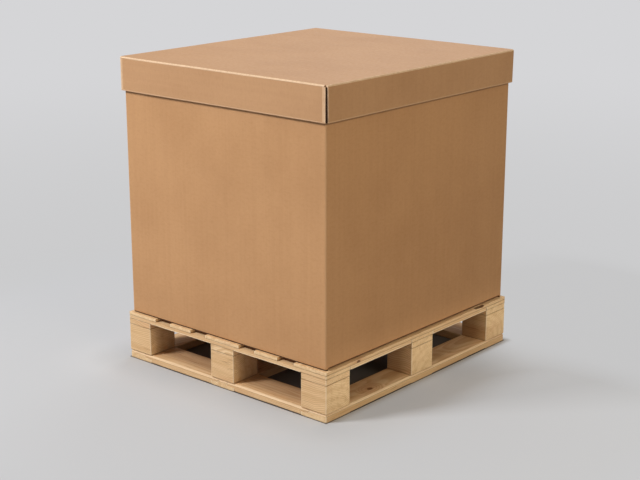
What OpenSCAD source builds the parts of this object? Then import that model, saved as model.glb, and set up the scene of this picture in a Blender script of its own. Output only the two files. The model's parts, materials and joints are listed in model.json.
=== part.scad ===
// Corrugated pallet box: a lift-off lid, a folded sleeve with bottom flaps, and a light block pallet.
// Millimetres, +Z up. The origin is the middle of the footprint, on the floor.

/* [Pallet] */
// Size of the pallet along X
pallet_x = 800; // [740:10:1000]
// Size of the pallet along Y
pallet_y = 880; // [780:10:1200]
// Size of a block along X, which is also the width of a runner and of an edge strip
block_x = 94; // [80:1:110]
// Size of a block along Y, which is also the width of a cross board and of a closing board
block_y = 104; // [90:1:130]
// Height of a block
block_h = 85; // [60:1:110]
// Thickness of the packer on each block
packer_t = 18; // [10:1:25]
// Rounding of the upright edges of blocks, packers and boards
edge_round = 3; // [1:0.5:6]

/* [Deck] */
// Thickness of a deck board
deck_t = 10; // [8:1:22]
// Width of the two outer deck boards
deck_outer_w = 120; // [112:1:140]
// Width of the two narrow deck boards
deck_narrow_w = 88; // [60:1:110]
// Width of the middle deck board
deck_middle_w = 136; // [110:1:150]
// Thickness of a cross board and of an edge strip
cross_t = 11; // [8:1:22]
// Gap at each end of an edge strip
strip_gap = 1; // [0.5:0.5:4]

/* [Base] */
// Thickness of a runner and of a closing board
base_t = 24; // [18:1:30]
// Chamfer along the outer top edge of the base
base_chamfer = 6; // [2:1:8]
// Bevel under the outer edge of the base, between the blocks
base_bevel = 2.5; // [1:0.5:4]
// Rounding of the four outer corners of the base
base_round = 6; // [2:1:12]
// Length of the lapped end of a closing board
lap_l = 30; // [20:1:36]
// Thickness of the lapped end of a closing board
lap_t = 12; // [8:1:14]

/* [Nails] */
// Radius of a nail's shank
nail_r = 1.5; // [1:0.1:2.2]
// Radius of a nail's head
nail_head_r = 3.5; // [3:0.1:5]
// Thickness of a nail's head
nail_head_t = 1.2; // [0.8:0.1:2]
// Length of a nail's point
nail_point = 4; // [2:0.5:6]
// Length of the nails that go from the deck into the blocks
block_nail_l = 80; // [55:1:90]
// Length of the nails that go from the base into the blocks
base_nail_l = 60; // [35:1:70]
// Wood that is left below the point of a short nail
short_nail_cover = 1; // [0.5:0.5:3]
// Room round a nail in its hole
nail_room = 0.05; // [0.02:0.01:0.1]
// Depth of a nail head below the face that it is driven into
nail_sink = 0.5; // [0.2:0.1:1.5]
// Distance of a block's upper nails from the edge of the block, along X
nail_edge = 20; // [15:1:30]
// Distance of a block's nails from the middle of the block, along Y
nail_offset = 25; // [15:1:35]

/* [Sleeve] */
// Distance from the sleeve's outer face to the pallet's edge
sleeve_inset = 10; // [5:1:30]
// Height of the sleeve
sleeve_h = 784; // [400:1:1200]
// Thickness of the sleeve's board
sleeve_t = 7; // [4:0.5:8]
// Outer radius of the upright creases
sleeve_round = 9; // [9:0.5:16]
// Width of the glue flap inside the back left corner
glue_flap_w = 45; // [30:1:80]
// Distance of the glue flap from the sleeve's upper and lower edge
glue_flap_trim = 25; // [20:1:60]
// How far the glue flap is pressed into the wall that it is glued to
glue_bite = 0.5; // [0.3:0.1:1]
// Distance of that wall's raw end from the back face
raw_end_inset = 1; // [0.5:0.5:4]

/* [Flaps] */
// Gap between the two outer flaps where they meet
flap_seam = 2; // [1:0.5:6]
// Width of the slot in the sleeve at each end of an outer flap
flap_slot = 0.5; // [0.3:0.1:3]
// Room between an inner flap's ends and the glue flap
inner_flap_play = 2; // [1:0.5:8]
// Room between an inner flap's crease and its wall
hinge_gap = 0.3; // [0.2:0.1:0.6]
// Rounding of the free corners of the flaps
flap_round = 12; // [4:1:30]
// Flat height of an inner flap's edge, above the curve of its crease
crease_land = 1; // [0.5:0.5:3]

/* [Lid] */
// Thickness of the lid's board
lid_t = 4; // [3:0.5:5]
// Depth of the lid, over its top
lid_depth = 100; // [70:1:200]
// Room between the sleeve and the corner tabs, along X
lid_play_x = 2.6; // [1:0.1:8]
// Room between the sleeve and the flanges, along Y
lid_play_y = 6; // [3:0.5:12]
// Outer radius of the folds
lid_fold_r = 5.5; // [5.5:0.5:8]
// Distance from the end of a long flange to the corner, which leaves an upright slit there
lid_slit = 5; // [1:0.5:8]
// Width of a corner tab
tab_w = 60; // [40:1:90]
// Distance of a corner tab from the flange's lower edge
tab_trim = 3; // [1:0.5:10]
// How far a corner tab is pressed into the flange that it is glued to
tab_bite = 0.6; // [0.3:0.1:1]

/* [Hidden] */

// Heights of the layers
block_z = base_t;
packer_z = block_z + block_h;
cross_z = packer_z + packer_t;
deck_z = cross_z + cross_t;
pallet_h = deck_z + deck_t;

// Middles of the three columns and the three rows of blocks, and the free lengths between them
col_x = [for (i = [-1:1]) i * (pallet_x - block_x) / 2];
row_y = [for (j = [-1:1]) j * (pallet_y - block_y) / 2];
bay_x = (pallet_x - 3 * block_x) / 2;
bay_y = (pallet_y - 3 * block_y) / 2;

// Middles and widths of the five deck boards
narrow_x = (pallet_x / 2 - deck_outer_w + deck_middle_w / 2) / 2;
outer_x = (pallet_x - deck_outer_w) / 2;
deck_x = [-outer_x, -narrow_x, 0, narrow_x, outer_x];
deck_w = [deck_outer_w, deck_narrow_w, deck_middle_w, deck_narrow_w, deck_outer_w];

// Places of the nails, as distances from the middle of a block, a narrow board or an edge strip
block_nail_spots = [for (s = [-1, 1]) [s * (block_x / 2 - nail_edge), -s * nail_offset]];
base_nail_spots = [for (s = [-1, 1]) [s * (block_x - lap_l) / 2, s * nail_offset]];
narrow_nail_spots = [for (s = [-1, 1]) [s * deck_narrow_w / 4, s * nail_offset]];
strip_nail_spots = [for (s = [-1, 1]) [s * block_x / 4, s * bay_y / 3]];
short_nail_l = deck_t + cross_t - short_nail_cover - nail_sink;

// Sleeve
sleeve_x = pallet_x - 2 * sleeve_inset;
sleeve_y = pallet_y - 2 * sleeve_inset;
inner_x = sleeve_x - 2 * sleeve_t;
inner_y = sleeve_y - 2 * sleeve_t;
fold_x = sleeve_x / 2 - sleeve_round;
fold_y = sleeve_y / 2 - sleeve_round;

// Flaps: the outer ones lie on the deck and meet in the middle, the inner ones lie on them
outer_crease_w = 2 * (fold_y - glue_bite);
outer_flap_w = outer_crease_w - 2 * flap_slot;
inner_flap_w = sleeve_x - 2 * (max(2 * sleeve_t, sleeve_round) + inner_flap_play);
inner_flap_reach = (min(inner_x, inner_y) - flap_seam) / 2;
inner_flap_z = pallet_h + sleeve_t;

// Lid
lid_x = sleeve_x + 2 * (lid_play_x + 2 * lid_t - tab_bite);
lid_y = sleeve_y + 2 * (lid_play_y + lid_t);
lid_top = pallet_h + sleeve_h + lid_t;
lid_bottom = lid_top - lid_depth;
short_flange_l = lid_x - 2 * (lid_t + lid_fold_r - tab_bite);

// How far a cutting shape reaches past the face that it cuts, and how far joined shapes overlap
past = 1;

// Colours
pine = [0.85, 0.72, 0.53];
pine_end = [0.80, 0.66, 0.46];
kraft = [0.74, 0.57, 0.40];
kraft_lid = [0.78, 0.61, 0.44];
steel = [0.55, 0.55, 0.57];

// A rectangle about the origin with rounded corners
module rounded_rect(x, y, r) {
    square([x - 2 * r, y], center = true);
    square([x, y - 2 * r], center = true);
    for (sx = [-1, 1], sy = [-1, 1])
        translate([sx * (x / 2 - r), sy * (y / 2 - r)]) circle(r = r, $fn = 32);
}

// The section of a board that is folded a quarter turn round the origin, and goes on a little at both ends
module fold(r, t) {
    intersection() {
        difference() {
            circle(r = r, $fn = 48);
            circle(r = r - t, $fn = 48);
        }
        square(r + past);
    }
    translate([-past, r - t]) square([past, t]);
    translate([r - t, -past]) square([t, past]);
}

// One nail with its head's face at the origin and its point below. With room, it is the hole for it.
module nail(length, room = 0) {
    rotate_extrude($fn = 24)
        polygon([
            [0, room], [nail_head_r + room, room],
            [nail_head_r + room, -nail_head_t - room], [nail_r + room, -nail_head_t - room],
            [nail_r + room, -(length - nail_point) - room], [0, -length - room]
        ]);
}

// The hole for a nail, open above its head
module nail_hole(length) {
    nail(length, nail_room);
    cylinder(r = nail_head_r + nail_room, h = nail_sink + past, $fn = 24);
}

// Puts its children at each spot round a middle, driven down from the deck
module driven_down(middle, spots) {
    for (p = spots)
        translate([middle[0] + p[0], middle[1] + p[1], pallet_h - nail_sink]) children();
}

// Puts its children at each spot round a middle, driven up from the floor
module driven_up(middle, spots) {
    for (p = spots)
        translate([middle[0] + p[0], middle[1] + p[1], nail_sink]) mirror([0, 0, 1]) children();
}

// The nails of the deck, over one column and one row, or over a narrow board or an edge strip
module block_nail_holes(i, j) driven_down([col_x[i], row_y[j]], block_nail_spots) nail_hole(block_nail_l);
module base_nail_holes(i, j) driven_up([col_x[i], row_y[j]], base_nail_spots) nail_hole(base_nail_l);
module narrow_nail_holes(side, j) {
    driven_down([side * narrow_x, row_y[j]], narrow_nail_spots) nail_hole(short_nail_l);
}
module strip_nail_holes(i, side) {
    driven_down([col_x[i], strip_y(side)], strip_nail_spots) nail_hole(short_nail_l);
}

// Middle of an edge strip along Y: side is -1 in front of the middle row and 1 behind it
function strip_y(side) = side * (block_y + bay_y) / 2;

// The pallet's outline above the base, which rounds the outer corners of the boards
module deck_outline(z, h) {
    translate([0, 0, z]) linear_extrude(height = h) rounded_rect(pallet_x, pallet_y, edge_round);
}

// One deck board, which runs the whole length along Y
module deck_board(k) {
    column = k / 2;
    color(pine) difference() {
        intersection() {
            translate([deck_x[k] - deck_w[k] / 2, -pallet_y / 2, deck_z]) cube([deck_w[k], pallet_y, deck_t]);
            deck_outline(deck_z, deck_t);
        }
        for (j = [0:2]) {
            if (k % 2 == 0) block_nail_holes(column, j);
            else narrow_nail_holes(k - 2, j);
        }
        if (k % 4 == 0)
            for (side = [-1, 1]) strip_nail_holes(column, side);
    }
}

// One cross board under the deck boards, which runs the whole length along X
module cross_board(j) {
    color(pine) difference() {
        intersection() {
            translate([-pallet_x / 2, row_y[j] - block_y / 2, cross_z]) cube([pallet_x, block_y, cross_t]);
            deck_outline(cross_z, cross_t);
        }
        for (i = [0:2]) block_nail_holes(i, j);
        for (side = [-1, 1]) narrow_nail_holes(side, j);
    }
}

// One edge strip between two cross boards, under an outer deck board
module edge_strip(i, side) {
    length = bay_y - 2 * strip_gap;
    color(pine) difference() {
        translate([col_x[i] - block_x / 2, strip_y(side) - length / 2, cross_z]) cube([block_x, length, cross_t]);
        strip_nail_holes(i, side);
    }
}

// One packer, on a block and under a cross board
module packer(i, j) {
    color(pine_end) difference() {
        translate([col_x[i], row_y[j], packer_z])
            linear_extrude(height = packer_t) rounded_rect(block_x, block_y, edge_round);
        block_nail_holes(i, j);
    }
}

// One block
module block(i, j) {
    color(pine_end) difference() {
        translate([col_x[i], row_y[j], block_z])
            linear_extrude(height = block_h) rounded_rect(block_x, block_y, edge_round);
        block_nail_holes(i, j);
        base_nail_holes(i, j);
    }
}

// A three-sided bar along X, about the origin, that cuts a chamfer from an edge
module chamfer_bar(length, size) {
    rotate([45, 0, 0]) cube([length, size * sqrt(2), size * sqrt(2)], center = true);
}

// The whole base as one chamfered slab, from which each base board takes its outer edges
module base_outline() {
    difference() {
        linear_extrude(height = base_t) rounded_rect(pallet_x, pallet_y, base_round);
        for (s = [-1, 1]) {
            translate([0, s * pallet_y / 2, base_t]) chamfer_bar(pallet_x + 2 * past, base_chamfer);
            translate([s * pallet_x / 2, 0, base_t]) rotate([0, 0, 90])
                chamfer_bar(pallet_y + 2 * past, base_chamfer);
            for (bay = [-1, 1]) {
                translate([bay * (block_x + bay_x) / 2, s * pallet_y / 2, 0]) chamfer_bar(bay_x, base_bevel);
                translate([s * pallet_x / 2, strip_y(bay), 0]) rotate([0, 0, 90])
                    chamfer_bar(bay_y, base_bevel);
            }
        }
    }
}

// The lapped ends of the closing boards that lie in a runner, in the row at one end of the pallet
module lap_seats(i, j) {
    sides = i == 0 ? [1] : i == 2 ? [-1] : [-1, 1];
    for (side = sides)
        translate([col_x[i] + side * (block_x - lap_l) / 2, row_y[j], base_t - lap_t / 2])
            cube([lap_l, block_y, lap_t], center = true);
}

// One runner under a column of blocks, with seats for the lapped ends of the closing boards
module runner(i) {
    color(pine) difference() {
        intersection() {
            translate([col_x[i] - block_x / 2, -pallet_y / 2, 0]) cube([block_x, pallet_y, base_t]);
            base_outline();
        }
        for (j = [0, 2]) lap_seats(i, j);
        for (j = [0:2]) base_nail_holes(i, j);
    }
}

// One closing board between two runners, at the front or the back, with a lapped end in each runner
module closing_board(side, j) {
    middle = side * (block_x + bay_x) / 2;
    color(pine) difference() {
        intersection() {
            translate([middle, row_y[j], 0]) {
                translate([-bay_x / 2, -block_y / 2, 0]) cube([bay_x, block_y, base_t]);
                translate([-bay_x / 2 - lap_l, -block_y / 2, base_t - lap_t])
                    cube([bay_x + 2 * lap_l, block_y, lap_t]);
            }
            base_outline();
        }
        for (i = [0:2]) base_nail_holes(i, j);
    }
}

module block_nails() {
    color(steel)
        for (i = [0:2], j = [0:2])
            driven_down([col_x[i], row_y[j]], block_nail_spots) nail(block_nail_l);
}

module board_nails() {
    color(steel) {
        for (side = [-1, 1], j = [0:2])
            driven_down([side * narrow_x, row_y[j]], narrow_nail_spots) nail(short_nail_l);
        for (i = [0, 2], side = [-1, 1])
            driven_down([col_x[i], strip_y(side)], strip_nail_spots) nail(short_nail_l);
    }
}

module base_nails() {
    color(steel)
        for (i = [0:2], j = [0:2])
            driven_up([col_x[i], row_y[j]], base_nail_spots) nail(base_nail_l);
}

// The sleeve's plan. The back wall's last fold starts behind the raw end of the left wall.
module sleeve_plan() {
    joint_x = fold_x - sleeve_t + glue_bite;
    translate([-fold_x, -sleeve_y / 2]) square([2 * fold_x, sleeve_t]);
    translate([inner_x / 2, -fold_y]) square([sleeve_t, 2 * fold_y]);
    translate([-joint_x, inner_y / 2]) square([joint_x + fold_x, sleeve_t]);
    translate([-sleeve_x / 2, -fold_y]) square([sleeve_t, fold_y + sleeve_y / 2 - raw_end_inset]);
    translate([fold_x, fold_y]) fold(sleeve_round, sleeve_t);
    translate([fold_x, -fold_y]) rotate(-90) fold(sleeve_round, sleeve_t);
    translate([-fold_x, -fold_y]) rotate(180) fold(sleeve_round, sleeve_t);
    translate([-joint_x, fold_y]) rotate(90) fold(sleeve_round, sleeve_t);
}

// The sleeve: four walls folded round and joined by a glue flap inside the back left corner.
// At the bottom the left and right walls end where the folds of the outer flaps start.
module sleeve() {
    flap_h = sleeve_h - 2 * glue_flap_trim;
    color(kraft) translate([0, 0, pallet_h]) {
        difference() {
            linear_extrude(height = sleeve_h) sleeve_plan();
            for (s = [-1, 1])
                translate([s * sleeve_x / 2, 0, (sleeve_round - past) / 2])
                    cube([2 * sleeve_t + past, outer_crease_w, sleeve_round + past], center = true);
        }
        translate([-inner_x / 2 - glue_bite, fold_y - glue_flap_w, glue_flap_trim])
            cube([sleeve_t, glue_flap_w, flap_h]);
    }
}

// A flap that reaches from the origin along X, with its two free corners rounded
module flap(reach, width) {
    linear_extrude(height = sleeve_t) {
        translate([0, -width / 2]) square([reach - flap_round, width]);
        translate([0, flap_round - width / 2]) square([reach, width - 2 * flap_round]);
        for (s = [-1, 1])
            translate([reach - flap_round, s * (width / 2 - flap_round)]) circle(r = flap_round, $fn = 48);
    }
}

// An outer flap hangs on the left or right wall by its fold, and reaches along the deck to the middle
module outer_flap(side) {
    color(kraft) translate([side * fold_x, 0, pallet_h]) rotate([0, 0, side == 1 ? 180 : 0]) {
        flap(fold_x - flap_seam / 2, outer_flap_w);
        translate([0, 0, sleeve_round]) rotate([90, 0, 0])
            linear_extrude(height = outer_flap_w, center = true) intersection() {
                rotate(180) fold(sleeve_round, sleeve_t);
                translate([-sleeve_round, -sleeve_round]) square([2 * sleeve_round, sleeve_round]);
            }
    }
}

// An inner flap lies on the outer ones and turns on its crease, which is curved underneath
module inner_flap(side) {
    crease_r = sleeve_t - crease_land;
    color(kraft)
        translate([0, side * (inner_y / 2 - hinge_gap), inner_flap_z]) rotate([0, 0, -side * 90])
            intersection() {
                flap(inner_flap_reach, inner_flap_w);
                rotate([90, 0, 0]) linear_extrude(height = inner_flap_w + 2 * past, center = true) {
                    translate([crease_r, 0]) square([inner_flap_reach, sleeve_t]);
                    translate([0, crease_r]) square([2 * crease_r, crease_land]);
                    translate([crease_r, crease_r]) circle(r = crease_r, $fn = 48);
                }
            }
}

// The section of a flange and of the fold that it hangs from, with the start of the fold at the origin
module flange_section() {
    translate([lid_fold_r - lid_t, -lid_depth]) square([lid_t, lid_depth - lid_fold_r]);
    translate([0, -lid_fold_r]) fold(lid_fold_r, lid_t);
}

// The lid: a top panel, four flanges, and tabs that run on from the short flanges behind the long ones
module lid() {
    long_flange_l = lid_y - 2 * lid_slit;
    upright_h = lid_depth - lid_fold_r;
    color(kraft_lid) {
        translate([0, 0, lid_top - lid_t]) linear_extrude(height = lid_t)
            square([lid_x - 2 * lid_fold_r, lid_y - 2 * lid_fold_r], center = true);
        for (s = [0, 1]) {
            mirror([s, 0, 0]) translate([lid_x / 2 - lid_fold_r, 0, lid_top]) rotate([90, 0, 0])
                linear_extrude(height = long_flange_l, center = true) flange_section();
            mirror([0, s, 0]) translate([0, lid_y / 2 - lid_fold_r, lid_top]) rotate([90, 0, 90])
                linear_extrude(height = short_flange_l, center = true) flange_section();
        }
        for (sx = [0, 1], sy = [0, 1])
            mirror([sx, 0, 0]) mirror([0, sy, 0])
                translate([short_flange_l / 2, lid_y / 2 - lid_fold_r, lid_bottom]) {
                    linear_extrude(height = upright_h) fold(lid_fold_r, lid_t);
                    translate([lid_fold_r - lid_t, -tab_w, tab_trim])
                        cube([lid_t, tab_w, upright_h - tab_trim]);
                }
    }
}

deck_board(0);  // deck_board_1
deck_board(1);  // deck_board_2
deck_board(2);  // deck_board_3
deck_board(3);  // deck_board_4
deck_board(4);  // deck_board_5
cross_board(0);  // cross_board_front
cross_board(1);  // cross_board_middle
cross_board(2);  // cross_board_back
edge_strip(0, -1);  // edge_strip_left_front
edge_strip(0, 1);  // edge_strip_left_back
edge_strip(2, -1);  // edge_strip_right_front
edge_strip(2, 1);  // edge_strip_right_back
packer(0, 0);  // packer_front_left
packer(1, 0);  // packer_front_middle
packer(2, 0);  // packer_front_right
packer(0, 1);  // packer_middle_left
packer(1, 1);  // packer_centre
packer(2, 1);  // packer_middle_right
packer(0, 2);  // packer_back_left
packer(1, 2);  // packer_back_middle
packer(2, 2);  // packer_back_right
block(0, 0);  // block_front_left
block(1, 0);  // block_front_middle
block(2, 0);  // block_front_right
block(0, 1);  // block_middle_left
block(1, 1);  // block_centre
block(2, 1);  // block_middle_right
block(0, 2);  // block_back_left
block(1, 2);  // block_back_middle
block(2, 2);  // block_back_right
runner(0);  // runner_left
runner(1);  // runner_middle
runner(2);  // runner_right
closing_board(-1, 0);  // closing_board_front_left
closing_board(1, 0);  // closing_board_front_right
closing_board(-1, 2);  // closing_board_back_left
closing_board(1, 2);  // closing_board_back_right
block_nails();
board_nails();
base_nails();
sleeve();
outer_flap(-1);  // outer_flap_left
outer_flap(1);  // outer_flap_right
inner_flap(-1);  // inner_flap_front
inner_flap(1);  // inner_flap_back
lid();
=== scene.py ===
"""The corrugated pallet box, dressed: kraft board with its flutes, and pine with rings, knots and nails."""

import json
import math
import random

import bmesh
import bpy
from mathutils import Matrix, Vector, noise


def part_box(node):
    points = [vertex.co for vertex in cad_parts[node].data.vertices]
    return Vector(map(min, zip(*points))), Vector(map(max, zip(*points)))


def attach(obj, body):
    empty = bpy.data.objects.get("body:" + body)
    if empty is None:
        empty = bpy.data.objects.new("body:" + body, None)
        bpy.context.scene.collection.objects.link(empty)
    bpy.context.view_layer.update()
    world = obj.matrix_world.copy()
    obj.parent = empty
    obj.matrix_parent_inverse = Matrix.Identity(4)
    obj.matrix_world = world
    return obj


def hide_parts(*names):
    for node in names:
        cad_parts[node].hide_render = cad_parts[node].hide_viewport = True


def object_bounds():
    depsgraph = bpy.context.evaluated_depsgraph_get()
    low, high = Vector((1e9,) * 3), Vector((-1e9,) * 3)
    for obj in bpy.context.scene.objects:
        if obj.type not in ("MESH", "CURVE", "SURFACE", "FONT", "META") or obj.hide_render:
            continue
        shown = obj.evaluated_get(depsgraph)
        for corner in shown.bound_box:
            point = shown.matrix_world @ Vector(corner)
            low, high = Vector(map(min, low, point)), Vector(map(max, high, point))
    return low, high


MM = 0.001
X, Y, Z = 0, 1, 2

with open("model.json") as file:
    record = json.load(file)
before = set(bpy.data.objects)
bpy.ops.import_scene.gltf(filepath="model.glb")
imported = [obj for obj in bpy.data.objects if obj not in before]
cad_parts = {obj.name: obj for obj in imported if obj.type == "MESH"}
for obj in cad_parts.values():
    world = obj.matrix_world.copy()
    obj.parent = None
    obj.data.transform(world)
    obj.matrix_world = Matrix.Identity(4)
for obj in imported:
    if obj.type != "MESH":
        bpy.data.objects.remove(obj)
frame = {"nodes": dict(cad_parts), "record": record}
cad_box = [list(corner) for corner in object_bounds()]
NODES = frame["nodes"]
BODY_OF = {n: body for body, names in frame["record"]["behaviour"]["bodies"].items() for n in names}
SLOT_OF = {part["node"]: part["material_slot"] for part in frame["record"]["subparts"]}


# Camera

IMAGE_W = 640
SENSOR = 36.0
# Fitted to the corners of the lid, the sleeve and the pallet in the photograph
FOCAL_PX = 1363.1
CAMERA_AT = (2.6448, -3.0757, 1.5139)
CAMERA_TURN = math.radians(49.298)
CAMERA_DIP = math.radians(15.939)


def make_camera():
    camera = bpy.data.objects.new("camera", bpy.data.cameras.new("camera"))
    bpy.context.scene.collection.objects.link(camera)
    camera.data.sensor_width = SENSOR
    camera.data.lens = FOCAL_PX / IMAGE_W * SENSOR
    forward = Vector((-math.cos(CAMERA_TURN), math.sin(CAMERA_TURN), -math.tan(CAMERA_DIP)))
    camera.location = CAMERA_AT
    camera.rotation_euler = forward.to_track_quat("-Z", "Y").to_euler()
    bpy.context.scene.camera = camera


# Material helpers


def linear(red, green, blue):
    """A colour as a picture shows it, 0 to 255, as the linear colour that a shader takes."""
    parts = [c / 255 for c in (red, green, blue)]
    return tuple(c / 12.92 if c <= 0.04045 else ((c + 0.055) / 1.055) ** 2.4 for c in parts) + (1.0,)


def add(tree, kind, sockets=None, **settings):
    """A new node. Its own settings go by name, and each socket gets a value or another node's output."""
    node = tree.nodes.new("ShaderNode" + kind)
    for key, value in settings.items():
        setattr(node, key, value)
    for key, value in (sockets or {}).items():
        if isinstance(value, bpy.types.NodeSocket):
            tree.links.new(value, node.inputs[key])
        else:
            node.inputs[key].default_value = value
    return node


def calc(tree, operation, a, b=0.0, c=0.0):
    return add(tree, "Math", {0: a, 1: b, 2: c}, operation=operation).outputs[0]


def times(tree, value, factor):
    return calc(tree, "MULTIPLY", value, factor)


def vector_calc(tree, operation, a, b=(0, 0, 0)):
    node = add(tree, "VectorMath", {0: a, 1: b}, operation=operation)
    return node.outputs["Value" if operation == "LENGTH" else "Vector"]


def blend(tree, factor, a, b):
    """Colour a turned towards colour b by the factor."""
    return add(tree, "Mix", {0: factor, 6: a, 7: b}, data_type="RGBA").outputs[2]


def spread(tree, value, low, high, to_low=0.0, to_high=1.0):
    """A value's range from low to high, stretched to a new range and held at its ends."""
    sockets = {0: value, 1: low, 2: high, 3: to_low, 4: to_high}
    return add(tree, "MapRange", sockets, interpolation_type="SMOOTHSTEP").outputs[0]


def noise_of(tree, vector, scale, detail=2.0, roughness=0.5):
    stretched = vector_calc(tree, "MULTIPLY", vector, scale)
    sockets = {"Vector": stretched, "Scale": 1.0, "Detail": detail, "Roughness": roughness}
    return add(tree, "TexNoise", sockets).outputs


def attribute(tree, name, output="Fac"):
    return add(tree, "Attribute", attribute_name=name).outputs[output]


def new_material(name):
    """An empty node material: its tree, its Principled shader, and the material itself."""
    material = bpy.data.materials.new(name)
    material.use_nodes = True
    tree = material.node_tree
    return tree, tree.nodes["Principled BSDF"], material


def connect(tree, shader, **sockets):
    for key, value in sockets.items():
        tree.links.new(value, shader.inputs[key.replace("_", " ")])


def bump(tree, height, distance, below=None):
    """A bump of that height in metres, on top of another one where there is one."""
    sockets = {"Height": height, "Strength": 1.0, "Distance": distance}
    if below is not None:
        sockets["Normal"] = below
    return add(tree, "Bump", sockets).outputs[0]


# Materials

# Colours of pine, apart from those that each kind of piece has of its own
SAPWOOD = linear(244, 212, 168)
END_GRAIN = linear(252, 221, 174)
RED_PATCH = linear(205, 150, 104)
FIBRE = linear(150, 104, 60)
FLECK = linear(150, 104, 62)
KNOT_HALO = linear(188, 130, 84)
PINE_HIGHLIGHT = linear(252, 232, 198)
DIRT_AND_SHADE = linear(92, 58, 30)
DUST_AND_SHADE = linear(104, 54, 12)
# Distances from the middle of a piece's own knot where the knot begins to show and where it is full,
# and the same for the halo round it
OWN_KNOT = (8.5 * MM, 5.5 * MM)
OWN_HALO = (42 * MM, 7 * MM)
# How far the rings waver, and how far a knot pushes them aside
RING_WANDER = 36 * MM
KNOT_PUSH = 12 * MM
# Depths inside the pallet where painted shade with some dust begins to show, and where it is full
INNER_SHADE_DEPTHS = (4 * MM, 55 * MM)
PINE_BUMP = 0.35 * MM


def make_pine(name, pale, ring, knot, ring_width, waviness):
    """Sawn pine. The attribute grain holds two distances across the log and one along it, from its heart.
    The attribute knot_at is the place of a knot of the piece's own, in the same distances."""
    tree, shader, material = new_material(name)
    grain = attribute(tree, "grain", "Vector")
    end = attribute(tree, "end")

    # Scattered knots and the piece's own, and how far they push the rings aside
    knot_cells = vector_calc(tree, "MULTIPLY", grain, (8, 8, 3.2))
    knots = add(tree, "TexVoronoi", {"Vector": knot_cells, "Scale": 1.0}).outputs
    is_knot = spread(tree, add(tree, "SeparateColor", {0: knots["Color"]}).outputs[0], 0.55, 0.6)
    from_own = vector_calc(tree, "SUBTRACT", grain, attribute(tree, "knot_at", "Vector"))
    from_own = vector_calc(tree, "LENGTH", vector_calc(tree, "MULTIPLY", from_own, (1, 1, 0.7)))
    own_halo = spread(tree, from_own, *OWN_HALO)
    knot_mask = times(tree, spread(tree, knots["Distance"], 0.12, 0.05), is_knot)
    knot_mask = calc(tree, "MAXIMUM", knot_mask, spread(tree, from_own, *OWN_KNOT))
    knot_pull = times(tree, spread(tree, knots["Distance"], 0.4, 0.04), is_knot)
    knot_pull = calc(tree, "MAXIMUM", knot_pull, own_halo)

    # Rings, each with late wood that darkens slowly and ends fast
    wander = noise_of(tree, grain, (9, 9, waviness), detail=2.0)["Color"]
    wander = vector_calc(tree, "SUBTRACT", wander, (0.5, 0.5, 0.5))
    wander = vector_calc(tree, "MULTIPLY", wander, (RING_WANDER, RING_WANDER, 0))
    across = vector_calc(tree, "MULTIPLY", vector_calc(tree, "ADD", grain, wander), (1, 1, 0))
    radius = vector_calc(tree, "LENGTH", across)
    radius = calc(tree, "MULTIPLY_ADD", knot_pull, KNOT_PUSH, radius)
    phase = calc(tree, "FRACT", calc(tree, "DIVIDE", radius, ring_width))
    late_wood = times(tree, spread(tree, phase, 0.2, 0.84), spread(tree, phase, 1.0, 0.88))
    band = spread(tree, calc(tree, "SINE", calc(tree, "DIVIDE", radius, 0.9 * ring_width)), -0.6, 1.0)
    ring_share = spread(tree, end, 0.0, 1.0, 0.55, 0.5)

    # Finer detail, by how often it comes in a metre across and along the grain
    streaks = noise_of(tree, grain, (70, 70, 2.6), detail=4.0, roughness=0.62)["Fac"]
    fibres = noise_of(tree, grain, (520, 520, 9), detail=2.0, roughness=0.6)["Fac"]
    flecks = noise_of(tree, grain, (240, 240, 16), detail=3.0, roughness=0.6)["Fac"]
    fleck_fields = noise_of(tree, grain, (26, 26, 7), detail=2.0)["Fac"]
    patches = noise_of(tree, grain, (12, 12, 4), detail=3.0)["Fac"]
    sawn = noise_of(tree, grain, (60, 60, 330), detail=1.0)["Fac"]
    fleck_fields = spread(tree, fleck_fields, 0.42, 0.68, 0.12, 0.64)
    fleck_share = times(tree, spread(tree, flecks, 0.57, 0.67), fleck_fields)
    fleck_share = times(tree, fleck_share, spread(tree, end, 0.0, 1.0, 1.0, 0.45))

    colour = blend(tree, times(tree, attribute(tree, "tone"), 0.5), pale, SAPWOOD)
    colour = blend(tree, times(tree, end, 0.75), colour, END_GRAIN)
    colour = blend(tree, times(tree, late_wood, ring_share), colour, ring)
    colour = blend(tree, times(tree, band, 0.16), colour, ring)
    colour = blend(tree, spread(tree, streaks, 0.45, 0.75, 0.0, 0.4), colour, ring)
    colour = blend(tree, spread(tree, patches, 0.5, 0.75, 0.0, 0.35), colour, RED_PATCH)
    colour = blend(tree, spread(tree, fibres, 0.55, 0.8, 0.0, 0.22), colour, FIBRE)
    colour = blend(tree, fleck_share, colour, FLECK)
    colour = blend(tree, times(tree, own_halo, 0.35), colour, KNOT_HALO)
    colour = blend(tree, times(tree, knot_mask, 0.85), colour, knot)
    # Painted highlight along edges and on the base's chamfer
    colour = blend(tree, times(tree, attribute(tree, "corner"), 0.6), colour, PINE_HIGHLIGHT)
    # Dirt and painted shade along joints and edges, and in the dip of the wane
    colour = blend(tree, times(tree, attribute(tree, "seam"), 0.9), colour, DIRT_AND_SHADE)
    # Painted shade, with some dust, deeper inside the fork channels
    colour = blend(tree, spread(tree, attribute(tree, "inside"), *INNER_SHADE_DEPTHS, 0.0, 0.44), colour, DUST_AND_SHADE)

    height = calc(tree, "MULTIPLY_ADD", late_wood, 0.35, times(tree, fibres, 1.1))
    height = calc(tree, "MULTIPLY_ADD", sawn, 0.35, height)
    connect(tree, shader, Base_Color=colour, Normal=bump(tree, height, PINE_BUMP))
    connect(tree, shader, Roughness=spread(tree, streaks, 0.2, 0.8, 0.62, 0.78))
    shader.inputs["Specular IOR Level"].default_value = 0.22
    return material


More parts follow.
